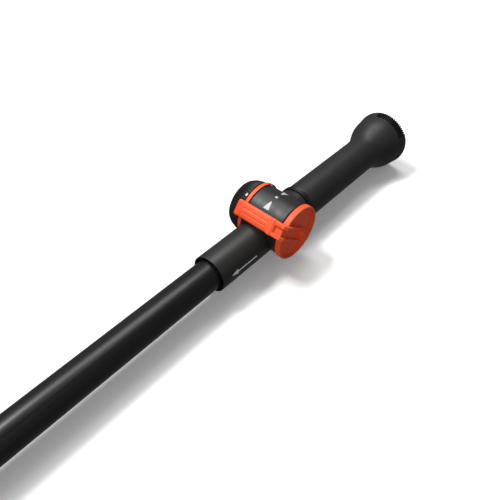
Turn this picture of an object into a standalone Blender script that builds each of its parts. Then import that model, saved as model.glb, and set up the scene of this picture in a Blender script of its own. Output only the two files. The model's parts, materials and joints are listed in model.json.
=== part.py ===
"""Water-fed cleaning handle: hose end, grip, lever valve, tube and brush coupling.

Frame: +X runs along the handle to its hose end, +Z is up, +Y is the valve-cap side.
The origin is under the middle of the handle, on the surface that it lies on.
Sizes are in millimetres, and MM turns them into Blender's metres where a mesh is made.
A turned piece is a list of (radius, station) points, where station is X on the handle's
own line and Y on the valve's cross line.
"""

import math

import bmesh
import bpy
from mathutils import Matrix, Vector

MM = 0.001
GAP = 0.3
WELD = 0.000002
NAME = "cleaning_handle"

# Handle line
LENGTH = 900.0
HEAD_R = 25.2
HANDLE_Z = HEAD_R
REAR = LENGTH / 2
FRONT = -LENGTH / 2

# Tube and its two collars
TUBE_R = 12.0
TUBE_BORE_R = 10.4
TUBE_FRONT = -404.0
TUBE_REAR = 249.6
COLLAR_R = 15.0
COLLAR_BORE_R = 12.4
COLLAR_FRONT = 205.4
FRONT_COLLAR_REAR = -386.0
SPIGOT_R = 10.0
SPIGOT_END = 212.0
COUPLING_SPIGOT_END = -384.0
RIVET_R = 1.6
RIVET_IN = 8.4
RIVET_OUT = 14.7
FRONT_RIVET_X = -398.0
REAR_RIVET_X = 236.0

# Valve barrel, lying across the handle
BARREL_X = 278.4
BARREL_RISE = 7.4
BARREL_Z = HANDLE_Z + BARREL_RISE
BARREL_R = 22.0
BARREL_LEFT = 17.0
BARREL_RIGHT = -19.8
SPOOL_R = 9.0
SPOOL_BORE_R = 9.7
PORT_R = 3.4
SEAT_R = 5.0
CHAMBER_R = 15.2
CHAMBER_Y = 11.7

# Neck between the barrel and the grip
NECK_R = 15.4
NECK_END = 309.0
NECK_SPIGOT_R = 12.6
NECK_SPIGOT_END = 345.0
NECK_HALF_WIDTH = 12.2
NECK_BORE_R = 9.4
BUSH_BORE_R = 10.4
BUSH_STEP = 324.0

# Lever: a bail over the barrel with a ring on one side and a dished disc on the other
LEVER_REST = -55.0
LEVER_SWING = 110.0
RING_IN = 22.35
RING_OUT = 23.7
RING_NEAR = 13.2
RING_FAR = 16.4
DISC_R = 23.0
DISC_BACK = -20.6
DISC_WEB = -23.2
DISC_RIM = -25.6
DISC_WALL = 1.8
BAR_IN = 24.6
BAR_OUT = 29.0
BAR_HALF = 6.5
BAR_LEFT = 18.9
BAR_RIGHT = -27.6
ARM_HALF = 5.8
ARM_FACE = -28.2
ARM_FLOOR = -25.0
ARM_WALL = 1.4
CHANNEL_FLOOR = 26.4
DRIVE_HALF = 3.5
DRIVE_END = -22.2
SCREW_HEAD_R = 3.2
SCREW_SEAT = -23.5

# Valve cap
CAP_R = 21.8
CAP_NEAR = 17.4
CAP_FAR = 31.2
CAP_PLUG_R = 14.8
CAP_FLUTES = 24

# Grip and head
GRIP_FRONT = 314.2
GRIP_R = 15.4
GRIP_BORE_R = 12.9
GRIP_END = 438.4
END_RING_FRONT = 438.8
HUB_R = 10.8
CLIP_FRONT = 410.8
CLIP_BACK = 413.2
NIPPLE_R = 8.2

# Brush coupling
SOCKET_R = 8.6
SOCKET_FLOOR = -424.0
NOSE_R = 12.5
FLANGE_FRONT = -413.7
FLANGE_REAR = TUBE_FRONT - GAP
SLEEVE_FRONT = -448.5
SLEEVE_REAR = -418.5
SLEEVE_WALL_X = -443.7
SLEEVE_BORE_R = 14.0
SLEEVE_CAVITY_R = 19.0
SLEEVE_SIDES = 8
CLAW_FRONT = -446.7
CLAW_REAR = -443.3
CLAW_HALF = 2.2

# Seals: radius of a ring's own section, and half the width and the depth of its groove
SEAL = 1.0
GROOVE_HALF = 1.35
GROOVE_DEPTH = 2.2
COLLAR_SEAL_X = 219.35
COUPLING_SEAL_X = -391.35
SPOOL_SEAL_LEFT_Y = 5.3

FINE = 48
MEDIUM = 36
COARSE = 24

MATERIALS = {
    "dark_plastic": ((0.050, 0.050, 0.048), 0.38, 0.0),
    "black_plastic": ((0.012, 0.012, 0.013), 0.45, 0.0),
    "orange_plastic": ((0.90, 0.115, 0.035), 0.42, 0.0),
    "coated_tube": ((0.018, 0.018, 0.018), 0.25, 0.0),
    "inner_plastic": ((0.32, 0.33, 0.34), 0.5, 0.0),
    "white_plastic": ((0.75, 0.76, 0.76), 0.4, 0.0),
    "seal_rubber": ((0.02, 0.02, 0.02), 0.7, 0.0),
    "steel": ((0.60, 0.60, 0.60), 0.3, 1.0),
}


# ---------------------------------------------------------------- scene and helpers


def clear_scene():
    for obj in list(bpy.data.objects):
        bpy.data.objects.remove(obj, do_unlink=True)


def new_collection(name):
    collection = bpy.data.collections.new(name)
    bpy.context.scene.collection.children.link(collection)
    return collection


def make_material(name):
    colour, roughness, metallic = MATERIALS[name]
    material = bpy.data.materials.new(name)
    material.use_nodes = True
    shader = material.node_tree.nodes["Principled BSDF"]
    shader.inputs["Base Color"].default_value = (*colour, 1.0)
    shader.inputs["Roughness"].default_value = roughness
    shader.inputs["Metallic"].default_value = metallic
    material.diffuse_color = (*colour, 1.0)
    return material


def place(obj, at, turn=(0.0, 0.0, 0.0)):
    """Puts an object at a point in millimetres, turned by angles in degrees."""
    obj.location = Vector(at) * MM
    obj.rotation_euler = [math.radians(a) for a in turn]
    bpy.context.view_layer.update()
    return obj


def new_object(name, mesh, cutter=False):
    obj = bpy.data.objects.new(name, mesh)
    (CUTTERS if cutter else PARTS).objects.link(obj)
    if cutter:
        obj.hide_render = True
        obj.display_type = "WIRE"
    return obj


def mesh_from_bmesh(name, bm):
    mesh = bpy.data.meshes.new(name)
    bm.to_mesh(mesh)
    bm.free()
    return mesh


def bake(obj, material=None, sharp=35.0, weld=True):
    """Turns an object's modifiers, or a curve, into one mesh, shaded smooth."""
    bpy.context.view_layer.update()
    evaluated = obj.evaluated_get(bpy.context.evaluated_depsgraph_get())
    mesh = bpy.data.meshes.new_from_object(evaluated)
    if obj.type == "CURVE":
        name, matrix, cutter = obj.name, obj.matrix_world.copy(), obj.hide_render
        bpy.data.objects.remove(obj, do_unlink=True)
        obj = new_object(name, mesh, cutter)
        obj.name = name
        obj.matrix_world = matrix
    else:
        obj.modifiers.clear()
        obj.data = mesh
    if weld:
        bm = bmesh.new()
        bm.from_mesh(mesh)
        bmesh.ops.remove_doubles(bm, verts=bm.verts, dist=WELD)
        bm.to_mesh(mesh)
        bm.free()
    mesh.name = obj.name
    if material:
        mesh.materials.clear()
        mesh.materials.append(PAINTS[material])
    mesh.shade_smooth()
    mesh.set_sharp_from_angle(angle=math.radians(sharp))
    return obj


def turned(name, profile, line, steps=COARSE, material=None, spin=0.0, cutter=False):
    """A turned solid. line is 'handle' or 'valve'; a profile off the centre is closed."""
    ring = profile[0][0] > 0.0
    points = [(r * MM, 0.0, t * MM) for r, t in profile]
    edges = [(i, i + 1) for i in range(len(points) - 1)]
    if ring:
        edges.append((len(points) - 1, 0))
    mesh = bpy.data.meshes.new(name)
    mesh.from_pydata(points, edges, [])
    obj = new_object(name, mesh, cutter)
    screw = obj.modifiers.new("Turn", "SCREW")
    screw.axis = "Z"
    screw.angle = math.tau
    screw.steps = steps
    screw.render_steps = steps
    screw.use_merge_vertices = True
    screw.merge_threshold = 0.00001
    if line == "handle":
        place(obj, (0.0, 0.0, HANDLE_Z))
        turn = Matrix.Rotation(math.radians(90.0), 4, "Y")
    else:
        place(obj, (BARREL_X, 0.0, BARREL_Z))
        turn = Matrix.Rotation(math.radians(-90.0), 4, "X")
    turn = turn @ Matrix.Rotation(math.radians(spin), 4, "Z")
    obj = bake(obj, material)
    obj.data.transform(turn)
    return obj


def plain_ring(r_in, r_out, low, high, edge=0.0):
    """A ring's section, with its two outer corners taken off by edge."""
    if not edge:
        return [(r_out, high), (r_out, low), (r_in, low), (r_in, high)]
    return [
        (r_out - edge, high),
        (r_out, high - edge),
        (r_out, low + edge),
        (r_out - edge, low),
        (r_in, low),
        (r_in, high),
    ]


def seal_ring(name, ring_r, station, line, material="seal_rubber", section=SEAL):
    """A round rubber ring about the handle's line or the valve's."""
    bpy.ops.mesh.primitive_torus_add(
        major_radius=ring_r * MM,
        minor_radius=section * MM,
        major_segments=16,
        minor_segments=5,
    )
    obj = bpy.context.object
    obj.name = name
    for other in list(obj.users_collection):
        other.objects.unlink(obj)
    PARTS.objects.link(obj)
    if line == "handle":
        obj.data.transform(Matrix.Rotation(math.radians(90.0), 4, "Y"))
        obj.data.transform(Matrix.Translation((station * MM, 0.0, 0.0)))
        place(obj, (0.0, 0.0, HANDLE_Z))
    else:
        obj.data.transform(Matrix.Rotation(math.radians(-90.0), 4, "X"))
        obj.data.transform(Matrix.Translation((0.0, station * MM, 0.0)))
        place(obj, (BARREL_X, 0.0, BARREL_Z))
    return bake(obj, material)


def block(name, low, high, edge=0.0, cutter=False):
    """A box between two corners, in millimetres from its object's origin."""
    bm = bmesh.new()
    size = Vector(high) - Vector(low)
    middle = (Vector(high) + Vector(low)) / 2
    shape = Matrix.Translation(middle * MM) @ Matrix.Diagonal((*(size * MM), 1.0))
    bmesh.ops.create_cube(bm, size=1.0, matrix=shape)
    if edge:
        bmesh.ops.bevel(
            bm, geom=bm.edges[:], offset=edge * MM, segments=1, affect="EDGES"
        )
    return new_object(name, mesh_from_bmesh(name, bm), cutter)


def rod(name, radius, start, end, sides=16, cutter=False):
    """A round rod from one point to another, in millimetres from its object's origin."""
    start, end = Vector(start), Vector(end)
    along = end - start
    turn = along.to_track_quat("Z", "Y").to_matrix().to_4x4()
    bm = bmesh.new()
    bmesh.ops.create_cone(
        bm,
        cap_ends=True,
        segments=sides,
        radius1=radius * MM,
        radius2=radius * MM,
        depth=along.length * MM,
        matrix=Matrix.Translation((start + end) / 2 * MM) @ turn,
    )
    return new_object(name, mesh_from_bmesh(name, bm), cutter)


def outline(name, points, low, high, cutter=False):
    """A flat outline of (x, z) points, extruded along Y from low to high."""
    curve = bpy.data.curves.new(name, "CURVE")
    curve.dimensions = "2D"
    curve.fill_mode = "BOTH"
    curve.extrude = (high - low) / 2 * MM
    spline = curve.splines.new("POLY")
    spline.points.add(len(points) - 1)
    for point, (x, z) in zip(spline.points, points):
        point.co = (x * MM, z * MM, 0.0, 1.0)
    spline.use_cyclic_u = True
    obj = bpy.data.objects.new(name, curve)
    (CUTTERS if cutter else PARTS).objects.link(obj)
    obj.hide_render = cutter
    obj = bake(obj)
    # The curve's plane stands up: its y becomes z, and its thickness runs along Y.
    obj.data.transform(Matrix.Rotation(math.radians(90.0), 4, "X"))
    obj.data.transform(Matrix.Translation((0.0, (low + high) / 2 * MM, 0.0)))
    if cutter:
        obj.display_type = "WIRE"
    return obj


def arc(centre, radius, start, end, steps):
    """Points on an arc in the (x, z) plane, angles in degrees from +X to +Z."""
    found = []
    for i in range(steps + 1):
        angle = math.radians(start + (end - start) * i / steps)
        found.append(
            (centre[0] + radius * math.cos(angle), centre[1] + radius * math.sin(angle))
        )
    return found


def combine(obj, others, operation):
    """Joins, or cuts away, other objects with exact Booleans, and drops them."""
    for other in others:
        step = obj.modifiers.new(other.name, "BOOLEAN")
        step.operation = operation
        step.solver = "EXACT"
        step.object = other
    obj = bake(obj, weld=False)
    for other in others:
        bpy.data.objects.remove(other, do_unlink=True)
    return obj


def finish(obj, name, material):
    """The last name, material and shading of a piece made by Booleans."""
    obj.name = name
    return bake(obj, material, weld=obj.type == "CURVE")


def rivet_rods(prefix, station, directions, radius, inner, outer, cutter):
    """One short radial rod for each direction, on the handle's line."""
    rods = []
    for i, (y, z) in enumerate(directions):
        start = (station, y * inner, z * inner)
        end = (station, y * outer, z * outer)
        item = rod(f"{prefix}_{i}", radius, start, end, sides=12, cutter=cutter)
        place(item, (0.0, 0.0, HANDLE_Z))
        rods.append(item)
    return rods


def join_solids(objects, name, material):
    """Several separate solids kept in one object, such as a set of cutters."""
    first = objects[0]
    bm = bmesh.new()
    for obj in objects:
        copy = obj.data.copy()
        copy.transform(first.matrix_world.inverted() @ obj.matrix_world)
        bm.from_mesh(copy)
        bpy.data.meshes.remove(copy)
    first.data = mesh_from_bmesh(name, bm)
    for obj in objects[1:]:
        bpy.data.objects.remove(obj, do_unlink=True)
    return finish(first, name, material)


# ---------------------------------------------------------------- tube and collars

FRONT_RIVETS = [(1.0, 0.0), (-1.0, 0.0)]
REAR_RIVETS = [(1.0, 0.0), (0.0, -1.0)]


def rivet_holes(obj, station, directions, outer=17.0):
    holes = rivet_rods(
        "hole", station, directions, RIVET_R + GAP, RIVET_IN - GAP, outer, cutter=True
    )
    return combine(obj, holes, "DIFFERENCE")


def make_tube():
    tube = turned(
        "tube", plain_ring(TUBE_BORE_R, TUBE_R, TUBE_FRONT, TUBE_REAR), "handle"
    )
    tube = rivet_holes(tube, FRONT_RIVET_X, FRONT_RIVETS)
    tube = rivet_holes(tube, REAR_RIVET_X, REAR_RIVETS)
    finish(tube, "tube", "coated_tube")


def make_front_collar():
    profile = plain_ring(COLLAR_BORE_R, COLLAR_R, TUBE_FRONT, FRONT_COLLAR_REAR, 1.0)
    collar = turned("front_collar", profile, "handle")
    collar = rivet_holes(collar, FRONT_RIVET_X, FRONT_RIVETS)
    finish(collar, "front_collar", "dark_plastic")


def make_rear_collar():
    """Covers the joint of tube and valve, and fits round the barrel like a saddle."""
    rear = BARREL_X - BARREL_R * 0.6
    profile = [
        (COLLAR_R, rear),
        (COLLAR_R, COLLAR_FRONT + 1.6),
        (COLLAR_R - 0.5, COLLAR_FRONT + 0.5),
        (COLLAR_R - 1.2, COLLAR_FRONT),
        (COLLAR_BORE_R + 0.9, COLLAR_FRONT),
        (COLLAR_BORE_R, COLLAR_FRONT + 2.0),
        (COLLAR_BORE_R, rear),
    ]
    collar = turned("rear_collar", profile, "handle", MEDIUM)
    saddle = turned(
        "saddle", solid_rod(BARREL_R + GAP, -40.0, 40.0), "valve", FINE, cutter=True
    )
    ring_path = turned(
        "ring_path",
        solid_rod(RING_OUT + 0.4, RING_NEAR - 0.5, 40.0),
        "valve",
        FINE,
        spin=2.0,
        cutter=True,
    )
    collar = combine(collar, [saddle, ring_path], "DIFFERENCE")
    collar = rivet_holes(collar, REAR_RIVET_X, REAR_RIVETS)
    finish(collar, "rear_collar", "dark_plastic")


def make_rivets():
    for prefix, station, directions in (
        ("coupling_rivet", FRONT_RIVET_X, FRONT_RIVETS),
        ("collar_rivet", REAR_RIVET_X, REAR_RIVETS),
    ):
        rods = rivet_rods(
            prefix, station, directions, RIVET_R, RIVET_IN, RIVET_OUT, cutter=False
        )
        for rivet in rods:
            finish(rivet, rivet.name, "steel")


# ---------------------------------------------------------------- valve


def solid_rod(radius, low, high, edge=0.0):
    """The section of a solid rod, from its centre line out and back."""
    if not edge:
        return [(0.0, high), (radius, high), (radius, low), (0.0, low)]
    return [
        (0.0, high),
        (radius - edge, high),
        (radius, high - edge),
        (radius, low + edge),
        (radius - edge, low),
        (0.0, low),
    ]


def neck_solid():
    """The neck to the grip, with flat sides where the lever's ring passes."""
    profile = [
        (0.0, NECK_SPIGOT_END),
        (NECK_SPIGOT_R - 0.8, NECK_SPIGOT_END),
        (NECK_SPIGOT_R, NECK_SPIGOT_END - 1.2),
        (NECK_SPIGOT_R, NECK_END),
        (NECK_R - 0.5, NECK_END),
        (NECK_R, NECK_END - 0.5),
        (NECK_R, 303.0),
        (NECK_R + 0.5, 300.0),
        (NECK_R + 2.0, 296.5),
        (NECK_R + 2.0, BARREL_X + 4.0),
        (0.0, BARREL_X + 4.0),
    ]
    neck = turned("neck", profile, "handle", MEDIUM, spin=1.0)
    sides = []
    for side in (-1, 1):
        edges = sorted((side * NECK_HALF_WIDTH, side * 30.0))
        flat = block(
            "flat", (260.0, edges[0], -30.0), (303.5, edges[1], 30.0), cutter=True
        )
        sides.append(place(flat, (0.0, 0.0, HANDLE_Z)))
    return combine(neck, sides, "DIFFERENCE")


def tube_spigot():
    """The stub that the tube slides over, with a groove for its seal."""
    groove = SPIGOT_R - GROOVE_DEPTH
    profile = [
        (0.0, BARREL_X - 8.0),
        (TUBE_R, BARREL_X - 8.0),
        (TUBE_R, TUBE_REAR + GAP),
        (SPIGOT_R, TUBE_REAR + GAP),
        (SPIGOT_R, COLLAR_SEAL_X + GROOVE_HALF),
        (groove, COLLAR_SEAL_X + GROOVE_HALF),
        (groove, COLLAR_SEAL_X - GROOVE_HALF),
        (SPIGOT_R, COLLAR_SEAL_X - GROOVE_HALF),
        (SPIGOT_R, SPIGOT_END + 1.0),
        (SPIGOT_R - 1.0, SPIGOT_END),
        (0.0, SPIGOT_END),
    ]
    return turned("stub", profile, "handle", spin=4.0)


def make_valve_housing():
    barrel = solid_rod(BARREL_R, BARREL_RIGHT, BARREL_LEFT, 0.8)
    housing = turned("valve_housing", barrel, "valve", FINE)
    housing = combine(housing, [neck_solid(), tube_spigot()], "UNION")
    beyond = 2.0
    spool_bore = [
        (0.0, BARREL_LEFT + beyond),
        (CHAMBER_R, BARREL_LEFT + beyond),
        (CHAMBER_R, CHAMBER_Y),
        (SPOOL_BORE_R, CHAMBER_Y),
        (SPOOL_BORE_R, -18.0),
        (14.4, -18.0),
        (14.4, BARREL_RIGHT - beyond),
        (0.0, BARREL_RIGHT - beyond),
    ]
    neck_bore = [
        (0.0, NECK_SPIGOT_END + beyond),
        (BUSH_BORE_R, NECK_SPIGOT_END + beyond),
        (BUSH_BORE_R, BUSH_STEP),
        (NECK_BORE_R, BUSH_STEP),
        (NECK_BORE_R, 296.0),
        (0.0, 296.0),
    ]
    tube_bore = [
        (0.0, 261.0),
        (NECK_BORE_R, 261.0),
        (NECK_BORE_R, 252.0),
        (6.6, 249.0),
        (6.6, SPIGOT_END - beyond),
        (0.0, SPIGOT_END - beyond),
    ]
    seat_reach = SPOOL_BORE_R + 3.6
    cutters = [
        turned("spool_bore", spool_bore, "valve", COARSE, spin=2.0, cutter=True),
        turned("neck_bore", neck_bore, "handle", COARSE, spin=3.0, cutter=True),
        turned("tube_bore", tube_bore, "handle", COARSE, spin=3.0, cutter=True),
    ]
    centre = (BARREL_X, 0.0, BARREL_Z)
    port = rod("port", PORT_R, (-20.0, 0, 0), (20.0, 0, 0), 16, True)
    seat = rod(
        "seat", SEAT_R + GAP, (-seat_reach, 0, 0), (seat_reach, 0, 0), 20, True
    )
    cutters += [place(port, centre), place(seat, centre)]
    housing = combine(housing, cutters, "DIFFERENCE")
    housing = rivet_holes(housing, REAR_RIVET_X, REAR_RIVETS, outer=12.0)
    finish(housing, "valve_housing", "dark_plastic")


def make_port_seats():
    for name, side in (("front_port_seat", -1), ("rear_port_seat", 1)):
        stations = sorted(
            BARREL_X + side * (SPOOL_BORE_R + d) for d in (0.5, 3.3)
        )
        profile = plain_ring(PORT_R, SEAT_R, *stations)
        seat = turned(name, profile, "handle", 16, "seal_rubber")
        place(seat, (0.0, 0.0, BARREL_Z))


def make_spool():
    """The plug that the lever turns: cross-drilled twice, shut between the two holes."""
    groove = SPOOL_R - GROOVE_DEPTH
    journal = 7.0
    profile = [
        (0.0, 11.2),
        (journal - 0.5, 11.2),
        (journal, 10.7),
        (journal, 7.2),
        (SPOOL_R, 7.2),
        (SPOOL_R, SPOOL_SEAL_LEFT_Y + GROOVE_HALF),
        (groove, SPOOL_SEAL_LEFT_Y + GROOVE_HALF),
        (groove, SPOOL_SEAL_LEFT_Y - GROOVE_HALF),
        (SPOOL_R, SPOOL_SEAL_LEFT_Y - GROOVE_HALF),
        (SPOOL_R, -12.6),
        (groove, -12.6),
        (groove, -14.3 - SEAL),
        (SPOOL_R, -14.3 - SEAL),
        (SPOOL_R, DISC_BACK + GAP),
        (0.0, DISC_BACK + GAP),
    ]
    spool = turned("valve_spool", profile, "valve")
    centre = (BARREL_X, 0.0, BARREL_Z)
    drive = block(
        "drive",
        (-DRIVE_HALF, DRIVE_END, -DRIVE_HALF),
        (DRIVE_HALF, DISC_BACK + 2.0, DRIVE_HALF),
    )
    place(drive, centre, (0.0, LEVER_REST, 0.0))
    spool = combine(spool, [drive], "UNION")
    straight = rod("straight", PORT_R, (-12, 0, 0), (12, 0, 0), 16, True)
    crossed = rod("crossed", PORT_R, (-12, 0, 0), (12, 0, 0), 16, True)
    screw_hole = rod("screw_hole", 1.8, (0, -26, 0), (0, -11.5, 0), 12, True)
    place(straight, centre)
    place(crossed, centre, (0.0, -LEVER_SWING, 0.0))
    place(screw_hole, centre)
    spool = combine(spool, [straight, crossed, screw_hole], "DIFFERENCE")
    finish(spool, "valve_spool", "white_plastic")
    seal_ring("spool_seal_left", SPOOL_R - 0.85, SPOOL_SEAL_LEFT_Y, "valve")
    seal_ring("spool_seal_right", SPOOL_R - 0.85, -13.95, "valve")
    bush = plain_ring(journal + GAP, SPOOL_BORE_R - GAP, 7.6, 11.4)
    turned("spool_bush", bush, "valve", COARSE, "inner_plastic")
    washer = plain_ring(SPOOL_R + 0.4, 14.0, -19.5, -18.3)
    turned("thrust_washer", washer, "valve", COARSE, "steel")


def bar_outline():
    """The lever's cross bar: a low crown with two grooves along its middle."""
    groove = 0.5
    crown = []
    for x in (4.9, 3.7, 2.5, 2.2, 1.6, 1.3, 0.0, -1.3, -1.6, -2.2, -2.5, -3.7, -4.9):
        drop = groove if abs(x) in (1.6, 2.2) else 0.0
        crown.append((x, BAR_OUT - 0.4 - 0.022 * x * x - drop))
    return (
        [(-BAR_HALF + 0.8, BAR_IN), (BAR_HALF - 0.8, BAR_IN)]
        + [(BAR_HALF, BAR_IN + 0.8), (BAR_HALF, BAR_OUT - 2.3)]
        + crown
        + [(-BAR_HALF, BAR_OUT - 2.3), (-BAR_HALF, BAR_IN + 0.8)]
    )


def make_lever():
    """Ring, bar, dished disc and arm in one moulding, made upright and then turned."""
    disc = [
        (0.0, DISC_BACK),
        (DISC_R - 0.6, DISC_BACK),
        (DISC_R, DISC_BACK - 0.6),
        (DISC_R, DISC_RIM + 0.4),
        (DISC_R - 0.5, DISC_RIM),
        (DISC_R - DISC_WALL + 0.3, DISC_RIM),
        (DISC_R - DISC_WALL, DISC_RIM + 0.4),
        (DISC_R - DISC_WALL, DISC_WEB),
        (0.0, DISC_WEB),
    ]
    centre = (BARREL_X, 0.0, BARREL_Z)
    lever = turned("bail_lever", disc, "valve", FINE)
    ring = turned("ring", plain_ring(RING_IN, RING_OUT, RING_NEAR, RING_FAR, 0.4),
                  "valve", FINE)
    bar = outline("bar", bar_outline(), BAR_RIGHT, BAR_LEFT - 1.0)
    left_block = block("left_block", (-6.6, 13.4, BAR_IN - 0.3), (6.6, BAR_LEFT, 28.5), 1.5)
    ring_root = block("ring_root", (-5.9, RING_NEAR + 0.3, 22.8), (5.9, RING_FAR - 0.3, 26.0))
    rim_root = block("rim_root", (-6.1, -25.1, 20.0), (6.1, -21.0, 26.0))
    right_block = block("right_block", (-6.7, -17.4, BAR_IN + 0.4), (6.7, -12.8, 28.9), 0.9)
    arm = outline(
        "arm",
        arc((0, 0), ARM_HALF, 180, 360, 10) + [(ARM_HALF, 28.2), (-ARM_HALF, 28.2)],
        ARM_FACE,
        DISC_WEB + 0.6,
    )
    inner = ARM_HALF - ARM_WALL
    narrow = inner - 1.7
    pocket = outline(
        "pocket",
        arc((0, 0), inner, 180, 360, 10)
        + [(inner, 2.0), (narrow, 30.0), (-narrow, 30.0), (-inner, 2.0)],
        ARM_FACE - 2.0,
        ARM_FLOOR,
        cutter=True,
    )
    joined = [ring, bar, left_block, ring_root, rim_root, right_block, arm]
    for piece in joined[1:] + [pocket]:
        place(piece, centre)
    lever = combine(lever, joined, "UNION")
    slack = DRIVE_HALF + GAP
    socket = block(
        "socket", (-slack, DRIVE_END - GAP, -slack), (slack, DISC_BACK + 2, slack), cutter=True
    )
    screw_way = rod("screw_way", 1.9, (0, -30, 0), (0, -22, 0), 12, True)
    seat = rod("seat", SCREW_HEAD_R + 0.4, (0, -30, 0), (0, SCREW_SEAT, 0), 24, True)
    # The pocket of the arm runs over the bar's end, up to the block beside it.
    channel = block(
        "channel", (-narrow, -32.0, CHANNEL_FLOOR), (narrow, -18.1, 31.0), cutter=True
    )
    for piece in (socket, screw_way, seat, channel):
        place(piece, centre)
    lever = combine(lever, [pocket, socket, screw_way, seat, channel], "DIFFERENCE")
    place(lever, centre, (0.0, LEVER_REST, 0.0))
    finish(lever, "bail_lever", "orange_plastic")
    top = SCREW_SEAT - 1.2
    head = rod("head", SCREW_HEAD_R, (0, top, 0), (0, SCREW_SEAT - GAP, 0), 16)
    shank = rod("shank", 1.5, (0, top + 0.4, 0), (0, -12.0, 0), 12)
    slot = block("slot", (-0.5, top - 1.0, -4.0), (0.5, top + 0.3, 4.0), cutter=True)
    cross = block("cross", (-4.0, top - 1.0, -0.5), (4.0, top + 0.3, 0.5), cutter=True)
    for piece in (head, shank, slot, cross):
        place(piece, centre)
    screw = combine(head, [shank], "UNION")
    screw = combine(screw, [slot, cross], "DIFFERENCE")
    finish(screw, "lever_screw", "steel")


def make_valve_cap():
    """The fluted cap that closes the barrel's other end, with its plug and seal."""
    profile = [
        (0.0, CAP_FAR),
        (16.4, CAP_FAR),
        (18.2, CAP_FAR - 1.2),
        (20.4, CAP_FAR - 4.8),
        (CAP_R, CAP_FAR - 9.4),
        (CAP_R, CAP_NEAR + 0.6),
        (CAP_R - 0.6, CAP_NEAR),
        (CAP_PLUG_R, CAP_NEAR),
        (CAP_PLUG_R, 16.7),
        (CAP_PLUG_R - 2.2, 16.7),
        (CAP_PLUG_R - 2.2, 14.0),
        (CAP_PLUG_R, 14.0),
        (CAP_PLUG_R, 12.5),
        (10.4, 12.5),
        (10.4, CAP_FAR - 3.0),
        (0.0, CAP_FAR - 3.0),
    ]
    cap = turned("valve_cap", profile, "valve", FINE)
    flutes = []
    for i in range(CAP_FLUTES):
        angle = math.tau * (i + 0.5) / CAP_FLUTES
        x, z = (CAP_R + 0.5) * math.cos(angle), (CAP_R + 0.5) * math.sin(angle)
        flute = rod("flute", 1.2, (x, 18.6, z), (x, CAP_FAR + 2.0, z), 5, True)
        flutes.append(place(flute, (BARREL_X, 0.0, BARREL_Z)))
    cutter = join_solids(flutes, "flutes", "black_plastic")
    cap = combine(cap, [cutter], "DIFFERENCE")
    finish(cap, "valve_cap", "black_plastic")
    seal_ring("cap_seal", CAP_PLUG_R - 0.9, 15.35, "valve")


# ---------------------------------------------------------------- grip and hose end


def make_grip():
    turned(
        "neck_ring",
        plain_ring(NECK_SPIGOT_R + GAP, 16.5, NECK_END + GAP, GRIP_FRONT - GAP, 0.9),
        "handle",
        MEDIUM,
        "black_plastic",
    )
    outer = [
        (24.1, GRIP_END),
        (23.9, 435.5),
        (23.3, 431.5),
        (22.4, 428.0),
        (20.7, 424.0),
        (18.8, 420.0),
        (17.0, 416.0),
        (15.9, 412.0),
        (GRIP_R, 406.0),
        (GRIP_R, GRIP_FRONT + 0.8),
        (GRIP_R - 0.6, GRIP_FRONT),
    ]
    inner = [
        (GRIP_BORE_R, GRIP_FRONT),
        (GRIP_BORE_R, 403.0),
        (13.5, 408.0),
        (14.2, 412.0),
        (15.4, 416.0),
        (17.3, 420.0),
        (19.45, 424.0),
        (21.0, 428.5),
        (21.3, 431.5),
        (21.9, GRIP_END),
    ]
    turned("grip_sleeve", outer + inner, "handle", MEDIUM, "dark_plastic")


def make_water_tube():
    """The pipe inside the grip, from the hose swivel to the valve."""
    profile = [
        (8.6, 409.0),
        (8.6, 405.2),
        (6.3, 405.2),
        (6.3, 402.4),
        (8.6, 402.4),
        (8.6, 398.3),
        (6.8, 398.3),
        (6.8, 318.0),
        (4.8, 318.0),
        (4.8, 409.0),
    ]
    turned("water_tube", profile, "handle", COARSE, "inner_plastic")
    seal_ring("swivel_seal", 7.65, 403.8, "handle")
    seal_ring("neck_seal", 8.6, 325.8, "handle", section=1.3)
    bush = plain_ring(7.1, BUSH_BORE_R - GAP, 327.6, 341.0)
    turned("tube_bush", bush, "handle", COARSE, "inner_plastic")


def make_swivel():
    """The bulkhead in the head, and the snap ring that keeps the hose end turning."""
    bulkhead = [
        (15.05, 416.0),
        (13.8, 411.5),
        (13.1, 407.5),
        (12.6, 402.5),
        (12.6, 384.0),
        (7.1, 384.0),
        (7.1, 396.0),
        (HUB_R + 0.4, 396.0),
        (HUB_R + 0.4, CLIP_FRONT),
        (12.9, CLIP_FRONT),
        (12.9, CLIP_BACK),
        (HUB_R + 0.4, CLIP_BACK),
        (HUB_R + 0.4, 416.0),
    ]
    turned("bulkhead", bulkhead, "handle", COARSE, "inner_plastic")
    clip = plain_ring(9.5, 12.6, CLIP_FRONT + GAP, CLIP_BACK - GAP)
    ring = turned("swivel_clip", clip, "handle")
    opening = block("opening", (405, -1.5, 5), (420, 1.5, 15), cutter=True)
    place(opening, (0.0, 0.0, HANDLE_Z))
    finish(combine(ring, [opening], "DIFFERENCE"), "swivel_clip", "steel")


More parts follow.
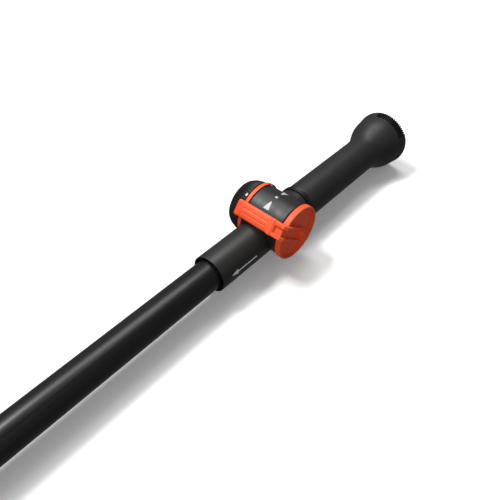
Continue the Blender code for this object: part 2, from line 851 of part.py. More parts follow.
def make_hose_end():
    nipple = [
        (7.0, 447.0),
        (NIPPLE_R, 445.8),
        (NIPPLE_R, 443.6),
        (5.9, 443.6),
        (5.9, 440.8),
        (NIPPLE_R, 440.8),
        (NIPPLE_R, 437.0),
        (6.6, 435.5),
        (6.6, 432.5),
        (8.6, 431.0),
        (8.6, 429.0),
        (10.2, 428.4),
        (10.2, 427.0),
        (9.0, 427.0),
        (9.0, 423.7),
        (12.5, 423.7),
        (12.5, 419.0),
        (HUB_R, 419.0),
        (HUB_R, CLIP_BACK),
        (9.2, CLIP_BACK),
        (9.2, CLIP_FRONT),
        (HUB_R, CLIP_FRONT),
        (HUB_R, 397.0),
        (9.0, 397.0),
        (9.0, 409.8),
        (4.2, 409.8),
        (4.2, 444.8),
        (5.4, 444.8),
        (5.4, 447.0),
    ]
    turned("hose_nipple", nipple, "handle", COARSE, "inner_plastic")
    seal_ring("nipple_seal", 7.25, 442.2, "handle")
    strainer = turned("strainer", solid_rod(5.1, 445.1, 446.3), "handle", 16)
    holes = [rod("hole", 0.7, (440, 0, 0), (450, 0, 0), 5, True)]
    for i in range(6):
        angle = math.tau * i / 6
        y, z = 2.9 * math.cos(angle), 2.9 * math.sin(angle)
        holes.append(rod("hole", 0.7, (440, y, z), (450, y, z), 5, True))
    for hole in holes:
        place(hole, (0.0, 0.0, HANDLE_Z))
    finish(combine(strainer, holes, "DIFFERENCE"), "inlet_strainer", "steel")


def make_end_ring():
    """The ring that ends the head: a dished cup round the hose nipple."""
    profile = [
        (23.4, REAR),
        (24.6, REAR - 0.8),
        (HEAD_R, REAR - 3.2),
        (HEAD_R, REAR - 5.4),
        (24.5, REAR - 9.8),
        (24.2, END_RING_FRONT),
        (21.4, END_RING_FRONT),
        (20.7, 431.5),
        (19.1, 424.0),
        (9.4, 424.0),
        (9.4, 426.5),
        (16.9, 426.5),
        (17.6, 428.0),
        (20.2, REAR - 3.0),
        (21.4, REAR),
    ]
    # Half a step of turn puts a flat facet, not a corner, at the bottom.
    turned("end_ring", profile, "handle", FINE, "dark_plastic", spin=180.0 / FINE)


# ---------------------------------------------------------------- brush coupling


def make_coupling_body():
    groove = SPIGOT_R - GROOVE_DEPTH
    profile = [
        (SPIGOT_R - 0.8, COUPLING_SPIGOT_END),
        (SPIGOT_R, COUPLING_SPIGOT_END - 1.0),
        (SPIGOT_R, COUPLING_SEAL_X + GROOVE_HALF),
        (groove, COUPLING_SEAL_X + GROOVE_HALF),
        (groove, COUPLING_SEAL_X - GROOVE_HALF),
        (SPIGOT_R, COUPLING_SEAL_X - GROOVE_HALF),
        (SPIGOT_R, FLANGE_REAR),
        (COLLAR_R, FLANGE_REAR),
        (COLLAR_R, FLANGE_FRONT),
        (NOSE_R, FLANGE_FRONT),
        (NOSE_R, FRONT + 0.8),
        (NOSE_R - 0.8, FRONT),
        (SOCKET_R + 0.8, FRONT),
        (SOCKET_R, FRONT + 0.8),
        (SOCKET_R, SOCKET_FLOOR),
        (5.0, SOCKET_FLOOR),
        (5.0, COUPLING_SPIGOT_END),
    ]
    body = turned("coupling_body", profile, "handle")
    windows = []
    for side in (-1, 1):
        heights = sorted((side * (SOCKET_R - 1.2), side * (NOSE_R + 1.5)))
        window = block(
            "window",
            (CLAW_FRONT - GAP, -CLAW_HALF - GAP, heights[0]),
            (CLAW_REAR + GAP, CLAW_HALF + GAP, heights[1]),
            cutter=True,
        )
        windows.append(place(window, (0.0, 0.0, HANDLE_Z)))
    body = combine(body, windows, "DIFFERENCE")
    body = rivet_holes(body, FRONT_RIVET_X, FRONT_RIVETS, outer=12.0)
    finish(body, "coupling_body", "dark_plastic")


def make_claws():
    for name, side in (("upper_claw", 1), ("lower_claw", -1)):
        heights = sorted((side * (SOCKET_R - 0.7), side * (NOSE_R - 0.3)))
        claw = block(
            name,
            (CLAW_FRONT, -CLAW_HALF, heights[0]),
            (CLAW_REAR, CLAW_HALF, heights[1]),
            0.4,
        )
        place(claw, (0.0, 0.0, HANDLE_Z))
        finish(claw, name, "white_plastic")


def make_release_sleeve():
    """An eight-sided sleeve: its flats give grip and keep the handle from rolling."""
    corner = HEAD_R / math.cos(math.pi / SLEEVE_SIDES)
    edge = 1.6
    profile = [
        (0.0, SLEEVE_REAR),
        (corner - edge, SLEEVE_REAR),
        (corner, SLEEVE_REAR - edge),
        (corner, SLEEVE_FRONT + edge),
        (corner - edge, SLEEVE_FRONT),
        (0.0, SLEEVE_FRONT),
    ]
    sleeve = turned(
        "release_sleeve",
        profile,
        "handle",
        SLEEVE_SIDES,
        spin=180.0 / SLEEVE_SIDES,
    )
    hollow = [
        (0.0, SLEEVE_REAR + 3.0),
        (SLEEVE_CAVITY_R, SLEEVE_REAR + 3.0),
        (SLEEVE_CAVITY_R, SLEEVE_WALL_X),
        (SLEEVE_BORE_R, SLEEVE_WALL_X),
        (SLEEVE_BORE_R, SLEEVE_FRONT - 3.0),
        (0.0, SLEEVE_FRONT - 3.0),
    ]
    cutter = turned("hollow", hollow, "handle", MEDIUM, cutter=True)
    sleeve = combine(sleeve, [cutter], "DIFFERENCE")
    finish(sleeve, "release_sleeve", "orange_plastic")


def make_coupling_spring():
    wire, coil_r, turns, each = 0.9, 16.0, 4, 12
    start = SLEEVE_WALL_X + GAP + wire
    end = FLANGE_FRONT - GAP - wire
    count = turns * each + 1
    curve = bpy.data.curves.new("coupling_spring", "CURVE")
    curve.dimensions = "3D"
    curve.bevel_depth = wire * MM
    curve.bevel_resolution = 1
    curve.use_fill_caps = True
    spline = curve.splines.new("POLY")
    spline.points.add(count - 1)
    for i, point in enumerate(spline.points):
        share = i / (count - 1)
        angle = math.tau * i / each
        x = start + (end - start) * share
        y, z = coil_r * math.cos(angle), coil_r * math.sin(angle)
        point.co = (x * MM, y * MM, z * MM, 1.0)
    spring = bpy.data.objects.new("coupling_spring", curve)
    PARTS.objects.link(spring)
    place(spring, (0.0, 0.0, HANDLE_Z))
    finish(spring, "coupling_spring", "steel")


# ---------------------------------------------------------------- the whole handle


def make_all():
    make_tube()
    make_front_collar()
    make_rear_collar()
    make_rivets()
    make_valve_housing()
    make_port_seats()
    make_spool()
    make_lever()
    make_valve_cap()
    make_grip()
    make_water_tube()
    make_swivel()
    make_hose_end()
    make_end_ring()
    make_coupling_body()
    make_claws()
    make_release_sleeve()
    make_coupling_spring()
    seal_ring("collar_seal", SPIGOT_R - 0.9, COLLAR_SEAL_X, "handle")
    seal_ring("coupling_seal", SPIGOT_R - 0.9, COUPLING_SEAL_X, "handle")
    seal_ring("socket_seal", 7.2, SOCKET_FLOOR - GAP - SEAL, "handle")


clear_scene()
PARTS = new_collection(NAME)
CUTTERS = new_collection("cutters")
PAINTS = {name: make_material(name) for name in MATERIALS}
make_all()
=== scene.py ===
"""Looks of the water-fed cleaning handle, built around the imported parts.

The handle lies along X with its hose end at +X. Turned pieces are sections of (radius, station)
points in millimetres: the station is X on the handle's line and Y on the valve's line.
"""

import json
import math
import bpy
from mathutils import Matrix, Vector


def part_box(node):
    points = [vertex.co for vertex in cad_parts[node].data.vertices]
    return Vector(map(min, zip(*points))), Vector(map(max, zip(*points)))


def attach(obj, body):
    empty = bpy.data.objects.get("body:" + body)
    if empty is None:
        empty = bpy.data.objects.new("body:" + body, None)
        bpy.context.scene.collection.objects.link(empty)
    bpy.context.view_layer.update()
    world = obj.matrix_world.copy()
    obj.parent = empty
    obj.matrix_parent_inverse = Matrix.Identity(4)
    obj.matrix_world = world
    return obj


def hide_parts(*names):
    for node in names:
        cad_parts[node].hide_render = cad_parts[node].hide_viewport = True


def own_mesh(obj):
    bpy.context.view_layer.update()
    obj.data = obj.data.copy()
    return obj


bl_info = {
    "name": "Cleaning Handle",
    "version": (1, 0, 0),
    "blender": (4, 5, 0),
    "location": "View3D > Sidebar > Handle",
    "description": "Builds the finished surfaces of a water-fed cleaning handle",
    "category": "Object",
}

import bmesh
import bpy
from bpy.props import FloatProperty, FloatVectorProperty, IntProperty, PointerProperty
from mathutils import Matrix, Vector

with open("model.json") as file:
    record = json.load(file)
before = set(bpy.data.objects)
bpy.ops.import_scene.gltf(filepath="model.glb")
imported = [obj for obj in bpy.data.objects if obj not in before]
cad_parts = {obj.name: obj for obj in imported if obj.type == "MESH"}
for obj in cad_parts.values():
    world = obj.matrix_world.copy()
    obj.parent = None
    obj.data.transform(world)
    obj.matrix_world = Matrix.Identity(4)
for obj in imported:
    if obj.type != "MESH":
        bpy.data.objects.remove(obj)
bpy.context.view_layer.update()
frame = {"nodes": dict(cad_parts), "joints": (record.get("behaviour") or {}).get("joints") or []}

MM = 0.001
JOINTS = {joint["name"]: joint for joint in frame["joints"]}
BARREL_X, _, BARREL_Z = JOINTS["lever_turn"]["pos_m"]
HANDLE_Z = JOINTS["hose_swivel"]["pos_m"][2]
BARREL_MM = BARREL_X / MM
LEVER_REST = -55.0
BARREL_R = 22.0
BARREL_RIGHT, BARREL_LEFT = -19.8, 17.0
NECK_HALF_WIDTH = 12.2
PORT_R = 3.4
SEAT_R = 5.3
ARM_FACE = -28.2
ARM_FLOOR = -25.0
HEAD_R = HANDLE_Z / MM
TEETH_ZONES = 3


def span(node, axis):
    """The lowest and highest place of a CAD node along an axis, in millimetres."""
    low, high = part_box(node)
    return low[axis] / MM, high[axis] / MM


# ---------------------------------------------------------------- user settings


def colour_setting(name, description, default):
    return FloatVectorProperty(
        name=name,
        description=description,
        subtype="COLOR",
        size=3,
        min=0.0,
        max=1.0,
        default=default,
    )


class HandleColours(bpy.types.PropertyGroup):
    dark: colour_setting("Valve and collar", "Dark moulded plastic", (0.0165, 0.0163, 0.0155))
    grip: colour_setting("Grip", "Dark plastic of the grip and head", (0.0150, 0.0155, 0.0148))
    black: colour_setting("Black parts", "Cap and neck ring", (0.0034, 0.0034, 0.0037))
    orange: colour_setting("Orange parts", "Lever and sleeve", (1.0, 0.112, 0.038))
    tube: colour_setting("Tube", "Coating of the tube", (0.0050, 0.0052, 0.0055))
    inner: colour_setting("Inner parts", "Unpainted inner mouldings", (0.30, 0.31, 0.32))
    white: colour_setting("White parts", "Spool and claws", (0.70, 0.70, 0.68))
    rubber: colour_setting("Seals", "Rubber rings", (0.016, 0.016, 0.016))
    steel: colour_setting("Steel", "Rivets, screw and spring", (0.58, 0.58, 0.57))
    print_white: colour_setting("Print", "White flow marks", (0.50, 0.50, 0.55))
    # Painted light: the arrow's white ink is painted much brighter than the other marks' ink,
    # standing in for light that the shaded side of the collar does not get.
    print_bright: colour_setting("Collar print", "Arrow on the collar", (0.92, 0.92, 0.93))
    floor: colour_setting("Floor", "Studio floor", (0.90, 0.90, 0.90))


def length_setting(name, description, default, least, most):
    return FloatProperty(
        name=name, description=description, default=default, min=least, max=most, unit="LENGTH"
    )


def count_setting(name, description, default, least, most):
    return IntProperty(
        name=name, description=description, default=default, min=least, max=most
    )


class HandleSizes(bpy.types.PropertyGroup):
    tooth_depth: length_setting(
        "Tooth depth", "How deep the teeth of the end ring are cut", 0.0012, 0.0002, 0.0015
    )
    flute_depth: length_setting(
        "Flute depth", "How deep the flutes of the valve cap are cut", 0.0006, 0.0002, 0.0016
    )
    print_height: length_setting(
        "Print height", "How far the marks stand above the surface", 0.00006, 0.00002, 0.0003
    )
    teeth: count_setting("Teeth", "Teeth that would fit round the end ring", 72, 24, 120)
    flutes: count_setting("Flutes", "Flutes around the valve cap", 54, 24, 90)


# ---------------------------------------------------------------- materials


def link(tree, a, b):
    tree.links.new(a, b)


PAINTS = {}


def new_material(name, colour, roughness, metallic=0.0):
    """Keeps a new material in PAINTS and gives its node tree and shader."""
    material = bpy.data.materials.new(name)
    material.use_nodes = True
    shader = material.node_tree.nodes["Principled BSDF"]
    shader.inputs["Base Color"].default_value = (*colour, 1.0)
    shader.inputs["Roughness"].default_value = roughness
    shader.inputs["Metallic"].default_value = metallic
    material.diffuse_color = (*colour, 1.0)
    PAINTS[name] = material
    return material.node_tree, shader


def noise(tree, scale, detail=3.0, stretch=(1.0, 1.0, 1.0)):
    """Noise in the object's own space; scale is waves in a metre."""
    place = tree.nodes.new("ShaderNodeTexCoord")
    mapping = tree.nodes.new("ShaderNodeMapping")
    mapping.inputs["Scale"].default_value = stretch
    texture = tree.nodes.new("ShaderNodeTexNoise")
    texture.inputs["Scale"].default_value = scale
    texture.inputs["Detail"].default_value = detail
    link(tree, place.outputs["Object"], mapping.inputs["Vector"])
    link(tree, mapping.outputs["Vector"], texture.inputs["Vector"])
    return texture.outputs["Fac"]


def remap(tree, value, low, high, start=0.3, end=0.7):
    node = tree.nodes.new("ShaderNodeMapRange")
    node.inputs["From Min"].default_value = start
    node.inputs["From Max"].default_value = end
    node.inputs["To Min"].default_value = low
    node.inputs["To Max"].default_value = high
    link(tree, value, node.inputs["Value"])
    return node.outputs["Result"]


def blend_colours(tree, share, first, second):
    node = tree.nodes.new("ShaderNodeMix")
    node.data_type = "RGBA"
    link(tree, share, node.inputs["Factor"])
    for name, colour in (("A", first), ("B", second)):
        socket = next(s for s in node.inputs if s.name == name and s.type == "RGBA")
        if isinstance(colour, tuple):
            socket.default_value = (*colour, 1.0)
        else:
            link(tree, colour, socket)
    return next(s for s in node.outputs if s.type == "RGBA")


def tinted(colour, factor):
    return tuple(min(1.0, c * factor) for c in colour)


def bump(tree, shader, *layers):
    """Stacks (value, height in metres) layers of relief on the shader's normal."""
    normal = None
    for value, height in layers:
        node = tree.nodes.new("ShaderNodeBump")
        node.inputs["Strength"].default_value = 1.0
        node.inputs["Distance"].default_value = height
        link(tree, value, node.inputs["Height"])
        if normal is not None:
            link(tree, normal, node.inputs["Normal"])
        normal = node.outputs["Normal"]
    link(tree, normal, shader.inputs["Normal"])


def edge_share(tree):
    """Near 1 on outside edges, where handling polishes and scuffs the surface."""
    geometry = tree.nodes.new("ShaderNodeNewGeometry")
    return remap(tree, geometry.outputs["Pointiness"], 0.0, 1.0, 0.53, 0.62)


def mottled(tree, pattern, colour, dark, light, start=0.3, end=0.7):
    """Two tints of a colour, mixed by a pattern."""
    share = remap(tree, pattern, 0.0, 1.0, start, end)
    return blend_colours(tree, share, tinted(colour, dark), tinted(colour, light))


def dress(tree, shader, tone, rough):
    link(tree, tone, shader.inputs["Base Color"])
    link(tree, rough, shader.inputs["Roughness"])


def moulded(name, colour, roughness, grain=3200.0, depth=0.000018, wear=1.5, shine=0.36):
    """Moulded plastic: spark-eroded grain, flow marks, cloudy tone and scuffed edges."""
    tree, shader = new_material(name, colour, roughness)
    clouds = noise(tree, 38.0, 4.0)
    fine = noise(tree, grain, 2.0)
    smears = noise(tree, 210.0, 3.0, (0.25, 1.0, 1.0))
    cloudy = mottled(tree, clouds, colour, 0.86, 1.14)
    scuff = tree.nodes.new("ShaderNodeMath")
    scuff.operation = "MULTIPLY"
    link(tree, edge_share(tree), scuff.inputs[0])
    link(tree, remap(tree, smears, 0.1, 0.75), scuff.inputs[1])
    worn = blend_colours(tree, scuff.outputs["Value"], cloudy, tinted(colour, wear))
    dress(tree, shader, worn, remap(tree, smears, roughness - 0.03, roughness + 0.05))
    shader.inputs["Specular IOR Level"].default_value = shine
    bump(tree, shader, (fine, depth), (clouds, 0.00002))


def coated(name, colour):
    """Satin powder coat on a drawn tube: soft orange peel and faint long marks."""
    tree, shader = new_material(name, colour, 0.3)
    peel = noise(tree, 850.0, 2.0)
    long_marks = noise(tree, 900.0, 3.0, (0.012, 1.0, 1.0))
    dust = noise(tree, 2600.0, 1.0)
    tone = mottled(tree, long_marks, colour, 0.8, 1.5, 0.35, 0.75)
    specks = remap(tree, dust, 0.0, 0.35, 0.72, 0.80)
    dusty = blend_colours(tree, specks, tone, (0.09, 0.09, 0.09))
    dress(tree, shader, dusty, remap(tree, long_marks, 0.30, 0.42))
    shader.inputs["Specular IOR Level"].default_value = 0.38
    bump(tree, shader, (peel, 0.000020), (long_marks, 0.000012))


def rubber(name, colour):
    """Matt rubber with a pale bloom in patches."""
    tree, shader = new_material(name, colour, 0.72)
    bloom = noise(tree, 420.0, 4.0)
    tone = mottled(tree, bloom, colour, 1.0, 2.2, 0.4, 0.75)
    dress(tree, shader, tone, remap(tree, bloom, 0.6, 0.82))
    bump(tree, shader, (noise(tree, 2200.0, 2.0), 0.00002))


def bright_steel(name, colour):
    """Turned steel with fine lines and faint stains."""
    tree, shader = new_material(name, colour, 0.3, metallic=1.0)
    turning = noise(tree, 2600.0, 3.0, (1.0, 0.15, 1.0))
    stain = noise(tree, 160.0, 4.0)
    tone = mottled(tree, stain, colour, 0.8, 1.15)
    dress(tree, shader, tone, remap(tree, turning, 0.2, 0.42))
    bump(tree, shader, (turning, 0.000012))


def printed(name, colour, under):
    """Pad-printed ink: slightly uneven, with pinholes that show the plastic."""
    tree, shader = new_material(name, colour, 0.5)
    pinholes = remap(tree, noise(tree, 2400.0, 2.0), 0.0, 1.0, 0.66, 0.74)
    thin = remap(tree, noise(tree, 320.0, 3.0), 0.0, 0.22)
    base = blend_colours(tree, thin, colour, tinted(colour, 0.82))
    tone = blend_colours(tree, pinholes, base, under)
    dress(tree, shader, tone, remap(tree, noise(tree, 700.0), 0.42, 0.6))
    bump(tree, shader, (noise(tree, 2600.0, 2.0), 0.00001))


def make_paints(colours):
    c = {key: tuple(getattr(colours, key)) for key in HandleColours.__annotations__}
    moulded("dark_plastic", c["dark"], 0.44)
    moulded("grip_plastic", c["grip"], 0.47, 2600.0, 0.000026)
    moulded("black_plastic", c["black"], 0.44, wear=2.0, shine=0.3)
    moulded(
        "orange_plastic", c["orange"], 0.42, 3000.0, 0.000014, wear=1.12, shine=0.2
    )
    coated("coated_tube", c["tube"])
    moulded("inner_plastic", c["inner"], 0.45, wear=1.15)
    moulded("white_plastic", c["white"], 0.42, wear=1.05)
    rubber("seal_rubber", c["rubber"])
    bright_steel("steel", c["steel"])
    # The arrow's ink is the brighter of the two: painted light that lifts it out of the collar's
    # shade.
    for name in ("print_white", "print_bright"):
        printed(name, c[name], c["dark"])


def paint(obj, slot):
    obj.data.materials.clear()
    obj.data.materials.append(PAINTS[slot])
    return obj


# ---------------------------------------------------------------- mesh helpers


def new_piece(name, data):
    obj = bpy.data.objects.new(name, data)
    bpy.context.scene.collection.objects.link(obj)
    return obj


def from_bmesh(name, bm):
    mesh = bpy.data.meshes.new(name)
    bmesh.ops.recalc_face_normals(bm, faces=bm.faces)
    bm.to_mesh(mesh)
    bm.free()
    return mesh


def placed(name, bm, matrix=None):
    """Moves a bmesh by a matrix, if there is one, and makes it a piece."""
    if matrix is not None:
        bmesh.ops.transform(bm, matrix=matrix, verts=bm.verts)
    return new_piece(name, from_bmesh(name, bm))


def settle(obj):
    """Makes an object's modifiers, and a curve's body, its real mesh."""
    bpy.context.view_layer.update()
    evaluated = obj.evaluated_get(bpy.context.evaluated_depsgraph_get())
    mesh = bpy.data.meshes.new_from_object(evaluated)
    if obj.type != "MESH":
        name, matrix = obj.name, obj.matrix_world.copy()
        bpy.data.objects.remove(obj, do_unlink=True)
        obj = new_piece(name, mesh)
        obj.matrix_world = matrix
    else:
        obj.modifiers.clear()
        obj.data = mesh
    return obj


def smooth(obj, angle=38.0):
    obj.data.shade_smooth()
    obj.data.set_sharp_from_angle(angle=math.radians(angle))
    return obj


def wear(obj, slot, body, *nodes):
    """Gives a piece its finish, its body and the CAD nodes that it stands for."""
    paint(obj, slot)
    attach(obj, body)
    if nodes:
        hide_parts(*nodes)
    return obj


def rounded(points, radius, steps=4, closed=True):
    """A section with every corner eased by up to radius, along a smooth curve."""
    if isinstance(radius, (int, float)):
        radius = [radius] * len(points)
    found = []
    count = len(points)
    for i, point in enumerate(points):
        here = Vector(point)
        if not closed and i in (0, count - 1):
            found.append(tuple(here))
            continue
        before, after = Vector(points[i - 1]), Vector(points[(i + 1) % count])
        reach = min(radius[i], 0.45 * (before - here).length, 0.45 * (after - here).length)
        if reach < 0.02:
            found.append(tuple(here))
            continue
        start = here + (before - here).normalized() * reach
        end = here + (after - here).normalized() * reach
        for k in range(steps + 1):
            t = k / steps
            spot = start * (1 - t) ** 2 + here * 2 * t * (1 - t) + end * t * t
            found.append(tuple(spot))
    return found


def about(axis, degrees):
    return Matrix.Rotation(math.radians(degrees), 4, axis)


HANDLE_LINE = Matrix.Translation((0.0, 0.0, HANDLE_Z))
VALVE_LINE = Matrix.Translation((BARREL_X, 0.0, BARREL_Z))
HANDLE_TURN = HANDLE_LINE @ about("Y", 90.0)
VALVE_TURN = VALVE_LINE @ about("X", -90.0)


def lathe(name, section, line="handle", steps=128, wave=None, spin=0.0):
    """A turned piece; wave(angle, radius, station) may move a point in or out."""
    bm = bmesh.new()
    rings = []
    for k in range(steps):
        angle = math.tau * k / steps + math.radians(spin)
        ring = []
        for r, t in section:
            if wave and r > 0.0:
                r = r + wave(angle, r, t)
            point = (r * math.cos(angle) * MM, r * math.sin(angle) * MM, t * MM)
            ring.append(bm.verts.new(point))
        rings.append(ring)
    closed = section[0][0] > 0.0
    last = len(section) if closed else len(section) - 1
    for k in range(steps):
        first, second = rings[k], rings[(k + 1) % steps]
        for i in range(last):
            j = (i + 1) % len(section)
            bm.faces.new((first[i], first[j], second[j], second[i]))
    if not closed:
        bmesh.ops.remove_doubles(bm, verts=bm.verts, dist=0.000001)
    return placed(name, bm, HANDLE_TURN if line == "handle" else VALVE_TURN)


def ring_section(r_in, r_out, low, high):
    return [(r_out, high), (r_out, low), (r_in, low), (r_in, high)]


def rod_section(radius, low, high):
    return [(0.0, high), (radius, high), (radius, low), (0.0, low)]


def soft_box(name, low, high, edge, matrix=None):
    """A box in millimetres with rounded edges."""
    bm = bmesh.new()
    size = Vector(high) - Vector(low)
    middle = (Vector(high) + Vector(low)) / 2
    shape = Matrix.Translation(middle * MM) @ Matrix.Diagonal((*(size * MM), 1.0))
    bmesh.ops.create_cube(bm, size=1.0, matrix=shape)
    if edge:
        edges = bm.edges[:]
        bmesh.ops.bevel(bm, geom=edges, offset=edge * MM, segments=3, profile=0.5, affect="EDGES")
    return placed(name, bm, matrix)


def soft_rod(name, radius, start, end, matrix=None, sides=48):
    start, end = Vector(start), Vector(end)
    along = end - start
    turn = along.to_track_quat("Z", "Y").to_matrix().to_4x4()
    bm = bmesh.new()
    bmesh.ops.create_cone(
        bm,
        cap_ends=True,
        segments=sides,
        radius1=radius * MM,
        radius2=radius * MM,
        depth=along.length * MM,
        matrix=Matrix.Translation((start + end) / 2 * MM) @ turn,
    )
    return placed(name, bm, matrix)


def slab(name, points, low, high, matrix=None):
    """A flat outline of (x, z) points in millimetres, thick along Y from low to high."""
    bm = bmesh.new()
    bottom = [bm.verts.new((x * MM, low * MM, z * MM)) for x, z in points]
    top = [bm.verts.new((x * MM, high * MM, z * MM)) for x, z in points]
    bm.faces.new(bottom)
    bm.faces.new(list(reversed(top)))
    for i in range(len(points)):
        j = (i + 1) % len(points)
        bm.faces.new((bottom[j], bottom[i], top[i], top[j]))
    return placed(name, bm, matrix)


def arc(radius, start, end, steps):
    found = []
    for i in range(steps + 1):
        angle = math.radians(start + (end - start) * i / steps)
        found.append((radius * math.cos(angle), radius * math.sin(angle)))
    return found


def cut(obj, cutters):
    """Takes the space of each cutter out of a piece."""
    for cutter in cutters:
        step = obj.modifiers.new(cutter.name, "BOOLEAN")
        step.operation = "DIFFERENCE"
        step.solver = "EXACT"
        step.object = cutter
        obj = settle(obj)
        bpy.data.objects.remove(cutter, do_unlink=True)
    return obj


def gather(name, objects):
    """Puts several overlapping solids in one object, for melt to fuse."""
    bm = bmesh.new()
    for obj in objects:
        bm.from_mesh(obj.data)
        bpy.data.objects.remove(obj, do_unlink=True)
    mesh = bpy.data.meshes.new(name)
    bm.to_mesh(mesh)
    bm.free()
    return new_piece(name, mesh)


def melt(obj, voxel, rounds=3):
    """Fuses a piece into one skin and eases its corners, as a mould's radii do."""
    remesh = obj.modifiers.new("Skin", "REMESH")
    remesh.mode = "VOXEL"
    remesh.voxel_size = voxel * MM
    remesh.use_smooth_shade = True
    relax = obj.modifiers.new("Relax", "SMOOTH")
    relax.factor = 0.5
    relax.iterations = rounds
    return settle(obj)


def stroke(name, points, radius, closed=False, resolution=6):
    """A round bead along points given in metres."""
    curve = bpy.data.curves.new(name, "CURVE")
    curve.dimensions = "3D"
    curve.bevel_depth = radius * MM
    curve.bevel_resolution = resolution
    curve.use_fill_caps = True
    spline = curve.splines.new("POLY")
    spline.points.add(len(points) - 1)
    for point, place in zip(spline.points, points):
        point.co = (*place, 1.0)
    spline.use_cyclic_u = closed
    return settle(new_piece(name, curve))


def bead_ring(name, station, radius, bead):
    """A round bead bent to a ring about the handle's line."""
    turns = arc(radius, 0, 360, 96)[:-1]
    circle = [(station * MM, y * MM, HANDLE_Z + z * MM) for y, z in turns]
    return smooth(stroke(name, circle, bead, closed=True))


# ---------------------------------------------------------------- stage


class HANDLE_OT_stage(bpy.types.Operator):
    """Set up the pale floor, the soft lights and the camera"""

    bl_idname = "handle.stage"
    bl_label = "Stage"

    def execute(self, context):
        bm = bmesh.new()
        bmesh.ops.create_grid(bm, x_segments=1, y_segments=1, size=6.0)
        floor = placed("floor", bm)
        _, shader = new_material("floor", tuple(context.scene.handle_colours.floor), 0.85)
        shader.inputs["Emission Color"].default_value = (1.0, 1.0, 1.0, 1.0)
        shader.inputs["Emission Strength"].default_value = 0.12
        paint(floor, "floor")
        # A white floor would light the undersides too strongly, so it lights nothing.
        floor.visible_diffuse = False
        floor.visible_glossy = False
        self.lights(context)
        self.camera(context)
        return {"FINISHED"}

    def lights(self, context):
        world = bpy.data.worlds.new("studio")
        world.use_nodes = True
        backdrop = world.node_tree.nodes["Background"]
        backdrop.inputs["Color"].default_value = (1.0, 1.0, 1.0, 1.0)
        backdrop.inputs["Strength"].default_value = 0.17
        context.scene.world = world
        middle = Vector((0.28, 0.0, 0.03))
        for name, place, size, power in (
            ("key", (0.05, 0.58, 1.18), 0.45, 15.5),
            ("top", (0.70, 0.30, 1.10), 0.6, 6.5),
            ("fill", (-0.55, -0.80, 0.60), 0.9, 2.4),
            ("front", (-0.85, 0.10, 0.75), 0.6, 3.0),
        ):
            light = bpy.data.lights.new(name, "AREA")
            light.shape = "RECTANGLE"
            light.size = size
            light.size_y = size * 0.6
            light.energy = power
            obj = bpy.data.objects.new(name, light)
            context.scene.collection.objects.link(obj)
            obj.location = place
            toward = middle - Vector(place)
            obj.rotation_euler = toward.to_track_quat("-Z", "Y").to_euler()
        context.scene.view_settings.view_transform = "Standard"

    def camera(self, context):
        lens = bpy.data.cameras.new("camera")
        lens.lens = 42.23
        lens.sensor_width = 36.0
        camera = bpy.data.objects.new("camera", lens)
        context.scene.collection.objects.link(camera)
        right = Vector((0.64684, -0.76105, 0.04909)).normalized()
        ahead = Vector((0.55697, 0.42745, -0.71209))
        ahead = (ahead - right * ahead.dot(right)).normalized()
        above = right.cross(ahead)
        turn = Matrix((right, above, -ahead)).transposed().to_4x4()
        camera.matrix_world = Matrix.Translation((-0.0048, -0.19737, 0.3446)) @ turn
        context.scene.camera = camera


# ---------------------------------------------------------------- hidden inner parts

INNER_SLOTS = {
    "seal_rubber": (
        "front_port_seat", "rear_port_seat", "spool_seal_left", "spool_seal_right", "cap_seal",
        "swivel_seal", "neck_seal", "collar_seal", "coupling_seal",
    ),
    "white_plastic": ("valve_spool", "upper_claw", "lower_claw"),
    "inner_plastic": ("spool_bush", "water_tube", "tube_bush", "bulkhead"),
    "steel": ("thrust_washer", "swivel_clip"),
}


class HANDLE_OT_inner_parts(bpy.types.Operator):
    """Finish the pieces inside the valve, the grip and the coupling"""

    bl_idname = "handle.inner_parts"
    bl_label = "Inner parts"

    def execute(self, context):
        for slot, nodes in INNER_SLOTS.items():
            for node in nodes:
                part = frame["nodes"][node]
                paint(part, slot)
        return {"FINISHED"}


# ---------------------------------------------------------------- tube and collars


class HANDLE_OT_tube(bpy.types.Operator):
    """Build the coated tube and its rivets"""

    bl_idname = "handle.tube"
    bl_label = "Tube"

    def execute(self, context):
        low, high = span("tube", 0)
        section = rounded(ring_section(10.4, 12.0, low, high), 0.4)
        tube = smooth(lathe("tube_skin", section, steps=160))
        wear(tube, "coated_tube", "handle", "tube")
        for joint in ("coupling", "collar"):
            for number in (0, 1):
                self.rivet(f"{joint}_rivet_{number}")
        return {"FINISHED"}

    def rivet(self, node):
        """A rivet with a low domed head, pointing away from the handle's line."""
        low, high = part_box(node)
        middle = (low + high) / 2
        out = middle - Vector((middle.x, 0.0, HANDLE_Z))
        out.normalize()
        dome = [(0.0, 15.05), (0.7, 15.0), (1.25, 14.8), (1.6, 14.4), (1.6, 8.4), (0.0, 8.4)]
        rivet = lathe(node + "_head", rounded(dome, 0.25, 3, closed=False), steps=40)
        back = HANDLE_TURN.inverted()
        turn = out.to_track_quat("Z", "Y").to_matrix().to_4x4()
        place = Matrix.Translation((middle.x, 0.0, HANDLE_Z))
        rivet.data.transform(place @ turn @ back)
        wear(smooth(rivet), "steel", "handle", node)


